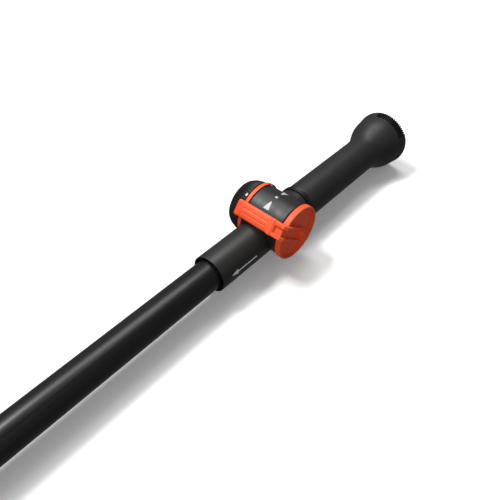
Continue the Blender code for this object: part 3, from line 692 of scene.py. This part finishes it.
class HANDLE_OT_collars(bpy.types.Operator):
    """Build the collar at the valve, the one at the coupling and the neck ring"""

    bl_idname = "handle.collars"
    bl_label = "Collars"

    def execute(self, context):
        self.rear()
        self.front()
        self.neck()
        return {"FINISHED"}

    def rear(self):
        """The long collar: a thin lip and a deep recess round the tube, a saddle behind."""
        low, _ = span("rear_collar", 0)
        high = BARREL_MM - BARREL_R * 0.6
        section = [
            (15.0, high), (15.0, low), (14.1, low), (13.9, low + 3.6), (12.4, low + 4.0),
            (12.4, high),
        ]
        collar = lathe("rear_collar_skin", rounded(section, 0.4), steps=128)
        saddle = lathe("saddle", rod_section(BARREL_R + 0.25, -40, 40), "valve", 128)
        # The lever's ring and the cap turn past the collar's end here.
        path = lathe("path", rod_section(24.4, 12.1, 40), "valve", 128)
        collar = cut(collar, [saddle, path])
        wear(smooth(collar), "dark_plastic", "handle", "rear_collar")

    def front(self):
        low, high = span("front_collar", 0)
        section = [
            (14.2, high), (14.8, high - 1.2), (15.0, high - 1.6), (15.0, low), (12.4, low),
            (12.4, high - 2.0), (13.1, high),
        ]
        collar = smooth(lathe("front_collar_skin", rounded(section, 0.4), steps=128))
        wear(collar, "dark_plastic", "handle", "front_collar")

    def neck(self):
        """The ring that clamps the grip to the valve, with two ridges."""
        low, high = span("neck_ring", 0)
        middle = (low + high) / 2
        section = [
            (15.6, high), (16.4, high - 0.7), (16.5, high - 1.4), (15.7, middle),
            (16.5, low + 1.4), (16.4, low + 0.7), (15.5, low), (12.9, low), (12.9, high),
        ]
        ring = smooth(lathe("neck_ring_skin", rounded(section, 0.5), steps=128))
        wear(ring, "black_plastic", "handle", "neck_ring")


# ---------------------------------------------------------------- grip and hose end


class HANDLE_OT_grip(bpy.types.Operator):
    """Build the grip, which flares into the bell of the head"""

    bl_idname = "handle.grip"
    bl_label = "Grip"

    def execute(self, context):
        low, high = span("grip_sleeve", 0)
        outer = [
            (24.1, high), (23.9, high - 2.9), (23.3, high - 6.9), (22.4, high - 10.4),
            (20.7, high - 14.4), (18.8, high - 18.4), (17.0, high - 22.4), (15.9, high - 26.4),
            (15.4, high - 32.4), (15.4, low + 1.0), (14.9, low),
        ]
        inner = [
            (12.95, low), (12.95, high - 35.4), (13.5, high - 30.4), (14.25, high - 26.4),
            (15.45, high - 22.4), (17.35, high - 18.4), (19.5, high - 14.4), (21.0, high - 9.9),
            (21.3, high - 6.9), (21.9, high),
        ]
        easing = [0.2, 1.4, 1.8, 1.8, 2.0, 2.0, 2.0, 2.2, 3.0, 0.5, 0.3] + [0.5] * 10
        section = rounded(outer + inner, easing, 6)
        grip = smooth(lathe("grip_skin", section, steps=192))
        wear(grip, "grip_plastic", "handle", "grip_sleeve")
        return {"FINISHED"}


class HANDLE_OT_end_ring(bpy.types.Operator):
    """Build the ring that ends the head, with its zones of fine teeth"""

    bl_idname = "handle.end_ring"
    bl_label = "End ring"

    def execute(self, context):
        sizes = context.scene.handle_sizes
        low, high = span("end_ring", 0)
        seam = 438.8
        section = [
            (23.3, high), (24.5, high - 0.8), (HEAD_R, high - 2.8), (HEAD_R, high - 4.6),
            (24.85, seam + 4.2), (24.45, seam + 1.4), (24.1, seam), (21.4, seam), (20.7, 431.5),
            (19.1, low), (9.4, low), (9.4, low + 2.5), (16.9, low + 2.5), (17.6, low + 4.0),
            (20.2, high - 3.0), (21.4, high),
        ]
        outline = rounded(section, 0.7, 4)
        # Closely spaced stations let the teeth start and stop cleanly.
        fine = []
        for i, (r, t) in enumerate(outline):
            after = outline[(i + 1) % len(outline)]
            fine.append((r, t))
            if r > 24.0 and after[0] > 24.0 and abs(after[1] - t) > 0.8:
                fine.append(((r + after[0]) / 2, (t + after[1]) / 2))
        depth = sizes.tooth_depth / MM
        pitch = math.tau / sizes.teeth
        zone = math.tau / TEETH_ZONES
        half = zone * 0.31
        middle_angle = math.radians(201.0)
        tooth_start = seam + 0.6

        def from_zone(angle):
            """How far round an angle is from the middle of its toothed zone."""
            return (angle - middle_angle + zone / 2) % zone - zone / 2

        def teeth(angle, radius, station):
            offset = from_zone(angle)
            if radius < 22.6 or station < tooth_start or abs(offset) > half:
                return 0.0
            phase = (offset % pitch) / pitch
            notch = min(1.0, max(0.0, 2.6 * abs(phase - 0.5) - 0.35) * 1.9)
            return -depth * notch * min(1.0, (station - tooth_start) / 0.6)

        ring = lathe("end_ring_skin", fine, steps=sizes.teeth * 12, wave=teeth)
        wear(smooth(ring, 30.0), "dark_plastic", "hose_end", "end_ring")
        ring.data.materials.append(PAINTS["black_plastic"])
        for face in ring.data.polygons:
            x, y, z = face.center
            z -= HANDLE_Z
            angle = math.pi + math.atan2(-y, z)
            outside = math.hypot(y, z) > 22.0 * MM and x > (seam + 0.3) * MM
            if outside and abs(from_zone(angle)) < half + pitch / 4:
                face.material_index = 1
        return {"FINISHED"}


class HANDLE_OT_nipple(bpy.types.Operator):
    """Build the hose nipple, its seal and the strainer in its mouth"""

    bl_idname = "handle.nipple"
    bl_label = "Hose nipple"

    def execute(self, context):
        section = [
            (7.0, 447.0), (8.2, 445.8), (8.2, 443.6), (5.9, 443.6), (5.9, 440.8), (8.2, 440.8),
            (8.2, 437.0), (6.6, 435.5), (6.6, 432.5), (8.6, 431.0), (8.6, 429.0), (10.2, 428.4),
            (10.2, 427.0), (9.0, 427.0), (9.0, 423.7), (12.5, 423.7), (12.5, 419.0),
            (10.8, 419.0), (10.8, 413.2), (9.2, 413.2), (9.2, 410.8), (10.8, 410.8),
            (10.8, 397.0), (9.0, 397.0), (9.0, 409.8), (4.2, 409.8), (4.2, 444.8), (5.4, 444.8),
            (5.4, 447.0),
        ]
        nipple = smooth(lathe("nipple_skin", rounded(section, 0.3, 3), steps=112))
        wear(nipple, "inner_plastic", "hose_end", "hose_nipple")
        seal = bead_ring("nipple_seal_skin", 442.2, 7.25, 1.05)
        wear(seal, "seal_rubber", "hose_end", "nipple_seal")
        self.strainer()
        return {"FINISHED"}

    def strainer(self):
        """A fine woven disc in a rim."""
        rim = lathe("strainer_rim", rounded(ring_section(4.2, 5.1, 445.1, 446.3), 0.25), steps=64)
        wires = []
        count, pitch = 9, 0.95
        for i in range(count):
            across = (i - (count - 1) / 2) * pitch
            reach = math.sqrt(max(0.0, 4.35**2 - across**2))
            for flip in (False, True):
                points = []
                for k in range(33):
                    along = reach * (2 * k / 32 - 1)
                    wave = 0.13 * math.cos(math.pi * (along / pitch + i)) * (-1 if flip else 1)
                    y, z = (along, across) if flip else (across, along)
                    points.append(((445.7 + wave) * MM, y * MM, HANDLE_Z + z * MM))
                wires.append(stroke("wire", points, 0.12, resolution=2))
        bm = bmesh.new()
        for obj in [rim] + wires:
            bm.from_mesh(obj.data)
            bpy.data.objects.remove(obj, do_unlink=True)
        strainer = smooth(placed("strainer_mesh", bm))
        wear(strainer, "steel", "hose_end", "inlet_strainer")


# ---------------------------------------------------------------- valve


class HANDLE_OT_valve_body(bpy.types.Operator):
    """Build the valve's barrel, its neck and the stub for the tube"""

    bl_idname = "handle.valve_body"
    bl_label = "Valve body"

    def execute(self, context):
        section = rod_section(BARREL_R, BARREL_RIGHT, BARREL_LEFT)
        body = lathe("barrel", rounded(section, 0.9, 4, closed=False), "valve", 160)
        section = [
            (0.0, 345.0), (12.6, 345.0), (12.6, 309.0), (15.4, 309.0), (15.4, 304.5),
            (15.7, 301.5), (16.6, 298.5), (18.6, 295.0), (18.6, 283.0), (0.0, 283.0),
        ]
        neck = lathe("neck", section, steps=128)
        for side in (-1, 1):
            y = sorted((side * NECK_HALF_WIDTH, side * 30.0))
            flat = soft_box("flat", (260, y[0], -30), (303.6, y[1], 30), 0.0, HANDLE_LINE)
            neck = cut(neck, [flat])
        section = [
            (0.0, 270.0), (12.0, 270.0), (12.0, 250.0), (10.0, 250.0), (10.0, 220.7),
            (7.8, 220.7), (7.8, 218.0), (10.0, 218.0), (10.0, 212.0), (0.0, 212.0),
        ]
        stub = lathe("stub", section, steps=96, spin=2.0)
        body = melt(gather("valve_body_skin", [body, neck, stub]), 0.40, 5)
        body = cut(body, self.bores())
        wear(smooth(body, 50.0), "dark_plastic", "handle", "valve_housing")
        return {"FINISHED"}

    def bores(self):
        """The spool's bore, the water ways in neck and stub, and the cross ports."""
        section = [
            (0.0, 20.0), (15.2, 20.0), (15.2, 11.7), (9.7, 11.7), (9.7, -18.0), (14.4, -18.0),
            (14.4, -22.0), (0.0, -22.0),
        ]
        spool = lathe("spool_bore", section, "valve", 96, spin=1.0)
        section = [
            (0.0, 348.0), (10.4, 348.0), (10.4, 324.0), (9.4, 324.0), (9.4, 296.0), (0.0, 296.0)
        ]
        neck = lathe("neck_bore", section, steps=64, spin=1.5)
        section = [
            (0.0, 261.0), (9.4, 261.0), (9.4, 252.0), (6.6, 249.0), (6.6, 209.0), (0.0, 209.0)
        ]
        tube = lathe("tube_bore", section, steps=64, spin=1.5)
        port = soft_rod("port", PORT_R, (-20, 0, 0), (20, 0, 0), VALVE_LINE)
        seat = soft_rod("seat", SEAT_R, (-13.3, 0, 0), (13.3, 0, 0), VALVE_LINE)
        return [spool, neck, tube, port, seat]


class HANDLE_OT_lever(bpy.types.Operator):
    """Build the orange lever and the screw that holds it on the spool"""

    bl_idname = "handle.lever"
    bl_label = "Lever"

    def execute(self, context):
        lever = self.moulding()
        drive = soft_box("drive", (-3.8, -22.5, -3.8), (3.8, -18.6, 3.8), 0.0, VALVE_LINE)
        way = soft_rod("way", 1.9, (0, -30, 0), (0, -22, 0), VALVE_LINE)
        seat = soft_rod("seat", 3.6, (0, -30, 0), (0, -23.5, 0), VALVE_LINE)
        lever = cut(lever, [drive, way, seat])
        turn = VALVE_LINE @ about("Y", LEVER_REST) @ VALVE_LINE.inverted()
        lever.data.transform(turn)
        wear(smooth(lever, 60.0), "orange_plastic", "lever", "bail_lever")
        self.screw(turn)
        cover = soft_rod("screw_cover", 3.62, (0, -25.02, 0), (0, -24.75, 0), VALVE_LINE)
        cover.data.transform(turn)
        wear(smooth(cover), "orange_plastic", "lever")
        return {"FINISHED"}

    def bar_outline(self):
        """The cross bar's section: a low crown."""
        crown = []
        for i in range(33):
            x = 5.6 - 11.2 * i / 32
            crown.append((x, 28.6 - 0.024 * x * x))
        return (
            [(-5.6, 24.6), (5.6, 24.6), (6.4, 25.3), (6.5, 26.2), (6.3, 27.2)]
            + crown
            + [(-6.3, 27.2), (-6.5, 26.2), (-6.4, 25.3)]
        )

    def moulding(self):
        """Ring, bar, dished disc and arm, fused and then hollowed, standing upright."""
        disc_section = [
            (0.0, -20.6), (22.6, -20.6), (23.0, -21.0), (23.0, -25.1), (22.6, -25.6),
            (21.5, -25.6), (21.2, -25.2), (21.2, -23.2), (0.0, -23.2),
        ]
        disc = lathe("disc", disc_section, "valve", 192)
        ring = lathe("ring", rounded(ring_section(22.3, 23.4, 13.2, 16.4), 0.45), "valve", 192)
        bar = slab("bar", self.bar_outline(), -16.0, 17.0, VALVE_LINE)
        left = soft_box("left", (-6.6, 13.4, 24.3), (6.6, 18.9, 28.5), 1.7, VALVE_LINE)
        ring_root = soft_box("ring_root", (-5.9, 13.4, 22.7), (5.9, 16.2, 26.0), 0.3, VALVE_LINE)
        rim_root = soft_box("rim_root", (-6.1, -25.1, 20.0), (6.1, -21.0, 26.0), 0.3, VALVE_LINE)
        right = soft_box("right", (-6.6, -17.5, 24.7), (6.6, -12.9, 28.9), 1.1, VALVE_LINE)
        end = soft_box("end", (-6.3, -27.6, 24.6), (6.3, -15.0, 28.2), 0.8, VALVE_LINE)
        half, wall = 5.8, 1.3
        arm_outline = arc(half, 180, 360, 32) + [(half, 28.2), (-half, 28.2)]
        arm = slab("arm", arm_outline, ARM_FACE, -22.6, VALVE_LINE)
        parts = [ring, bar, left, ring_root, rim_root, right, end, arm]
        lever = melt(gather("lever_skin", [disc, *parts]), 0.28, 2)
        inner = half - wall
        narrow = inner - 1.7
        pocket_outline = arc(inner, 180, 360, 32) + [
            (inner, 2.0), (narrow, 32.0), (-narrow, 32.0), (-inner, 2.0),
        ]
        pocket = slab("pocket", pocket_outline, -31.0, ARM_FLOOR, VALVE_LINE)
        side = narrow + 0.23
        channel = soft_box("channel", (-side, -31.4, 26.4), (side, -18.1, 33.0), 0.0, VALVE_LINE)
        cutters = [pocket, channel]
        # The outer corner where the bar meets the arm is cut off, then rounded by the melt.
        corner = VALVE_LINE @ Matrix.Translation((0.0, ARM_FACE * MM, 28.4 * MM)) @ about("X", 45.0)
        cutters.append(soft_box("corner", (-9, -14, -1.9), (9, 14, 8), 0.0, corner))
        for x in (-1.9, 1.9):
            start, end = (x, -11.6, 28.75), (x, 12.6, 28.75)
            cutters.append(soft_rod("groove", 0.62, start, end, VALVE_LINE, 16))
        lever = cut(lever, cutters)
        return melt(lever, 0.28, 2)

    def screw(self, turn):
        """A flat-topped screw with a cross recess, sunk under a cover in the arm."""
        head = [
            (0.0, -24.7), (2.6, -24.65), (3.1, -24.4), (3.2, -23.8), (1.5, -23.8), (1.5, -12.0),
            (0.0, -12.0),
        ]
        screw = lathe("lever_screw_skin", list(reversed(head)), "valve", 64)
        cutters = []
        for angle in (0.0, 90.0):
            slot = VALVE_LINE @ about("Y", angle)
            cutters.append(soft_box("cross", (-1.9, -27, -0.42), (1.9, -24.4, 0.42), 0.1, slot))
        screw = cut(screw, cutters)
        screw.data.transform(turn)
        wear(smooth(screw, 30.0), "steel", "lever", "lever_screw")


class HANDLE_OT_valve_cap(bpy.types.Operator):
    """Build the fluted black cap with its grip bar; its pointer comes with the flow marks"""

    bl_idname = "handle.valve_cap"
    bl_label = "Valve cap"

    def execute(self, context):
        sizes = context.scene.handle_sizes
        far = span("valve_cap", 1)[1]
        section = [
            (0.0, far - 1.2), (13.2, far - 1.2), (14.0, far), (16.2, far), (18.2, far - 1.2),
            (20.4, far - 4.8), (21.6, far - 8.8), (21.8, far - 11.0), (21.8, 18.0), (21.2, 17.4),
            (14.8, 17.4), (14.8, 16.7), (12.6, 16.7), (12.6, 14.0), (14.8, 14.0), (14.8, 12.5),
            (10.4, 12.5), (10.4, far - 3.0), (0.0, far - 3.0),
        ]
        outline = rounded(section, 0.9, 5, closed=False)
        depth = sizes.flute_depth / MM

        def flutes(angle, radius, station):
            if radius < 17.5 or station < 18.4:
                return 0.0
            share = 0.5 - 0.5 * math.cos(angle * sizes.flutes)
            fade = min(1.0, (station - 18.4) / 0.8)
            top = min(1.0, max(0.0, (far - 0.2 - station) / 1.5))
            return -depth * (share**1.5) * fade * top

        cap = lathe("valve_cap_skin", outline, "valve", sizes.flutes * 10, wave=flutes)
        wear(smooth(cap, 32.0), "black_plastic", "cap", "valve_cap")
        low, high = (-1.6, far - 1.8, -13.0), (1.6, far, 13.0)
        bar = soft_box("cap_grip_bar", low, high, 0.6, VALVE_LINE @ about("Y", 35.0))
        wear(smooth(bar), "black_plastic", "cap")
        return {"FINISHED"}


class HANDLE_OT_flow_marks(bpy.types.Operator):
    """Print the plain flow marks: wedges and dot on the barrel, arrow on the collar"""

    bl_idname = "handle.flow_marks"
    bl_label = "Flow marks"

    def execute(self, context):
        self.height = context.scene.handle_sizes.print_height / MM
        self.barrel_mark("wedge_open", self.wedge(14.5, 33.5, 0.9, 5.2), 12)
        self.barrel_mark("wedge_shut", self.wedge(-18.0, -38.0, 0.9, 5.2), 12)
        self.barrel_mark("stop_dot", self.dot(-1.6, 2.9, 1.2), 1)
        self.collar_arrow()
        self.cap_pointer()
        return {"FINISHED"}

    def dot(self, at, half_angle, half_width):
        """An oval round the barrel at an angle in degrees."""
        turns = [math.tau * i / 40 for i in range(40)]
        return [(at + half_angle * math.cos(a), half_width * math.sin(a)) for a in turns]

    def wedge(self, tip, base, narrow, wide):
        """A wedge round the barrel: from its tip angle to its base, widening."""
        return [(tip, -narrow / 2), (base, -wide / 2), (base, wide / 2), (tip, narrow / 2)]

    def barrel_mark(self, name, outline, steps):
        """Lays an outline of (degrees round, millimetres across) on the barrel."""
        points = []
        count = len(outline)
        for i in range(count):
            a, b = outline[i], outline[(i + 1) % count]
            for k in range(steps):
                t = k / steps
                points.append((a[0] + (b[0] - a[0]) * t, a[1] + (b[1] - a[1]) * t))
        self.lay(name, points, BARREL_R + 0.02, "valve", (0.0, -1.6))

    def lay(self, name, points, radius, line, offset, slot="print_white"):
        """A thin printed patch that follows a round surface, filled by a fine grid."""
        lows = [p[0] for p in points]
        start, end = min(lows), max(lows)
        rows, columns = 24, 6
        bm = bmesh.new()
        layers = []
        for lift in (0.0, self.height):
            grid = []
            for i in range(rows + 1):
                angle = start + (end - start) * i / rows
                cuts = self.crossings(points, angle, start, end)
                row = []
                for k in range(columns + 1):
                    y = cuts[0] + (cuts[1] - cuts[0]) * k / columns
                    row.append(bm.verts.new(self.spot(angle, y, radius + lift, line, offset)))
                grid.append(row)
            layers.append(grid)
        under, over = layers
        for i in range(rows):
            for k in range(columns):
                bm.faces.new((over[i][k], over[i + 1][k], over[i + 1][k + 1], over[i][k + 1]))
                bm.faces.new((under[i][k], under[i][k + 1], under[i + 1][k + 1], under[i + 1][k]))
        rim = (
            [(i, 0) for i in range(rows)]
            + [(rows, k) for k in range(columns)]
            + [(i, columns) for i in range(rows, 0, -1)]
            + [(0, k) for k in range(columns, 0, -1)]
        )
        for n, (i, k) in enumerate(rim):
            j, m = rim[(n + 1) % len(rim)]
            bm.faces.new((under[i][k], under[j][m], over[j][m], over[i][k]))
        bmesh.ops.remove_doubles(bm, verts=bm.verts, dist=0.0000001)
        wear(smooth(placed(name, bm)), slot, "handle")

    def crossings(self, points, angle, start, end):
        """Where the outline crosses a line of constant angle."""
        angle = min(max(angle, start + 0.001), end - 0.001)
        found = []
        for i, a in enumerate(points):
            b = points[(i + 1) % len(points)]
            if a[0] != b[0] and (a[0] - angle) * (b[0] - angle) <= 0:
                t = (angle - a[0]) / (b[0] - a[0])
                found.append(a[1] + (b[1] - a[1]) * t)
        if len(found) < 2:
            raise RuntimeError("a printed outline isn't closed")
        return min(found), max(found)

    def spot(self, angle, across, radius, line, offset):
        turn = math.radians(angle + offset[0])
        if line == "valve":
            return (
                BARREL_X - radius * math.sin(turn) * MM,
                (across + offset[1]) * MM,
                BARREL_Z + radius * math.cos(turn) * MM,
            )
        return (
            (across + offset[1]) * MM,
            -radius * math.sin(turn) * MM,
            HANDLE_Z + radius * math.cos(turn) * MM,
        )

    def collar_arrow(self):
        """A slim arrow along the collar that shows which way the water runs."""
        shaft = [(-2.2, -13.0), (2.2, -13.0), (2.2, 8.0), (-2.2, 8.0)]
        head = [(-8.0, 8.0), (0.0, 15.0), (8.0, 8.0)]
        # The arrow gets the brighter ink: painted light against the shade on the collar's side.
        for name, outline in (("arrow_shaft", shaft), ("arrow_head", head)):
            flipped = [(a, -b) for a, b in outline]
            self.lay(name, flipped, 15.02, "handle", (81.0, 229.0), "print_bright")

    def cap_pointer(self):
        """A small white tick on the cap's edge."""
        section = [(21.2, 19.9), (21.2, 18.3), (21.9, 18.3), (21.9, 19.9)]
        low, high = math.radians(-31.0), math.radians(-25.0)
        bm = bmesh.new()
        rings = []
        for i in range(7):
            angle = low + (high - low) * i / 6
            rings.append([
                bm.verts.new((
                    BARREL_X + r * math.sin(angle) * MM,
                    y * MM,
                    BARREL_Z + r * math.cos(angle) * MM,
                ))
                for r, y in section
            ])
        for i in range(6):
            for k in range(4):
                m = (k + 1) % 4
                bm.faces.new((rings[i][k], rings[i][m], rings[i + 1][m], rings[i + 1][k]))
        bm.faces.new(rings[0])
        bm.faces.new(list(reversed(rings[-1])))
        wear(smooth(placed("cap_pointer", bm)), "print_white", "cap")


# ---------------------------------------------------------------- brush coupling


class HANDLE_OT_coupling(bpy.types.Operator):
    """Build the brush coupling: body, release sleeve, spring and socket seal"""

    bl_idname = "handle.coupling"
    bl_label = "Coupling"

    def execute(self, context):
        self.body()
        self.sleeve()
        self.spring()
        return {"FINISHED"}

    def body(self):
        section = [
            (9.2, -384.0), (10.0, -385.0), (10.0, -390.0), (7.8, -390.0), (7.8, -392.7),
            (10.0, -392.7), (10.0, -404.3), (14.9, -404.3), (15.0, -404.9), (15.0, -413.7),
            (12.5, -413.7), (12.5, -449.2), (11.7, -450.0), (9.5, -450.0), (8.6, -449.0),
            (8.6, -424.0), (5.0, -424.0), (5.0, -384.0),
        ]
        body = lathe("coupling_skin", rounded(section, 0.5, 3), steps=112)
        windows = []
        for side in (-1, 1):
            z = sorted((side * 7.4, side * 14.0))
            low, high = (-447.0, -2.5, z[0]), (-443.0, 2.5, z[1])
            windows.append(soft_box("window", low, high, 0.0, HANDLE_LINE))
        body = cut(body, windows)
        wear(smooth(body), "dark_plastic", "handle", "coupling_body")
        station = sum(span("socket_seal", 0)) / 2
        seal = bead_ring("socket_seal_skin", station, 7.2, 1.0)
        wear(seal, "seal_rubber", "handle", "socket_seal")

    def sleeve(self):
        """Eight flats with rounded corners and a shallow finger groove on each."""
        low, high = span("release_sleeve", 0)
        flat_r, corner_r = 25.2, 26.55
        section = [
            (19.0, high), (flat_r, high), (flat_r, low), (14.0, low), (14.0, low + 4.8),
            (19.0, low + 4.8),
        ]
        outline = rounded(section, [0.5, 2.0, 2.0, 0.8, 0.4, 0.4], 5)
        fine = []
        for i, (r, t) in enumerate(outline):
            fine.append((r, t))
            after = outline[(i + 1) % len(outline)]
            if r > 25.0 and after[0] > 25.0:
                gap = after[1] - t
                fine += [(r, t + gap * k / 24) for k in range(1, 24)]
        eighth = math.tau / 8

        def flats(angle, radius, station):
            if radius < 19.5:
                return 0.0
            offset = (angle + eighth / 2) % eighth - eighth / 2
            side = min(flat_r / math.cos(offset), corner_r)
            groove = 0.0
            if radius > 25.1 and low + 4.0 < station < high - 4.0:
                groove = 0.45 * (0.5 - 0.5 * math.cos(math.tau * (station - low - 4.0) / 3.67))
                groove *= 1.0 if abs(offset) < eighth * 0.30 else 0.0
            return (radius / flat_r) * side - radius - groove

        sleeve = lathe("sleeve_skin", fine, steps=320, wave=flats)
        wear(smooth(sleeve, 35.0), "orange_plastic", "sleeve", "release_sleeve")

    def spring(self):
        low, high = span("coupling_spring", 0)
        wire, coil, turns = 0.9, 16.0, 4
        start, end = low + wire, high - wire
        points = []
        count = turns * 48
        for i in range(count + 1):
            angle = math.tau * i / 48
            x = start + (end - start) * i / count
            points.append(
                (x * MM, coil * math.cos(angle) * MM, HANDLE_Z + coil * math.sin(angle) * MM)
            )
        spring = smooth(stroke("spring_wire", points, wire, resolution=4))
        wear(spring, "steel", "handle", "coupling_spring")
        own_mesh(spring)


# ---------------------------------------------------------------- panel and run

OPERATORS = (
    HANDLE_OT_stage,
    HANDLE_OT_inner_parts,
    HANDLE_OT_tube,
    HANDLE_OT_collars,
    HANDLE_OT_grip,
    HANDLE_OT_end_ring,
    HANDLE_OT_nipple,
    HANDLE_OT_valve_body,
    HANDLE_OT_lever,
    HANDLE_OT_valve_cap,
    HANDLE_OT_flow_marks,
    HANDLE_OT_coupling,
)


class HANDLE_PT_panel(bpy.types.Panel):
    """Sizes, colours and building steps of the handle"""

    bl_idname = "HANDLE_PT_panel"
    bl_label = "Cleaning Handle"
    bl_space_type = "VIEW_3D"
    bl_region_type = "UI"
    bl_category = "Handle"

    def draw(self, context):
        for group in (context.scene.handle_sizes, context.scene.handle_colours):
            for key in type(group).__annotations__:
                self.layout.prop(group, key)
        for operator in OPERATORS:
            self.layout.operator(operator.bl_idname)


CLASSES = (HandleColours, HandleSizes, *OPERATORS, HANDLE_PT_panel)


def register():
    for cls in CLASSES:
        bpy.utils.register_class(cls)
    bpy.types.Scene.handle_colours = PointerProperty(type=HandleColours)
    bpy.types.Scene.handle_sizes = PointerProperty(type=HandleSizes)


def unregister():
    del bpy.types.Scene.handle_sizes
    del bpy.types.Scene.handle_colours
    for cls in reversed(CLASSES):
        bpy.utils.unregister_class(cls)


def main():
    register()
    make_paints(bpy.context.scene.handle_colours)
    for operator in OPERATORS:
        group, name = operator.bl_idname.split(".")
        getattr(getattr(bpy.ops, group), name)()


if __name__ == "__main__":
    main()
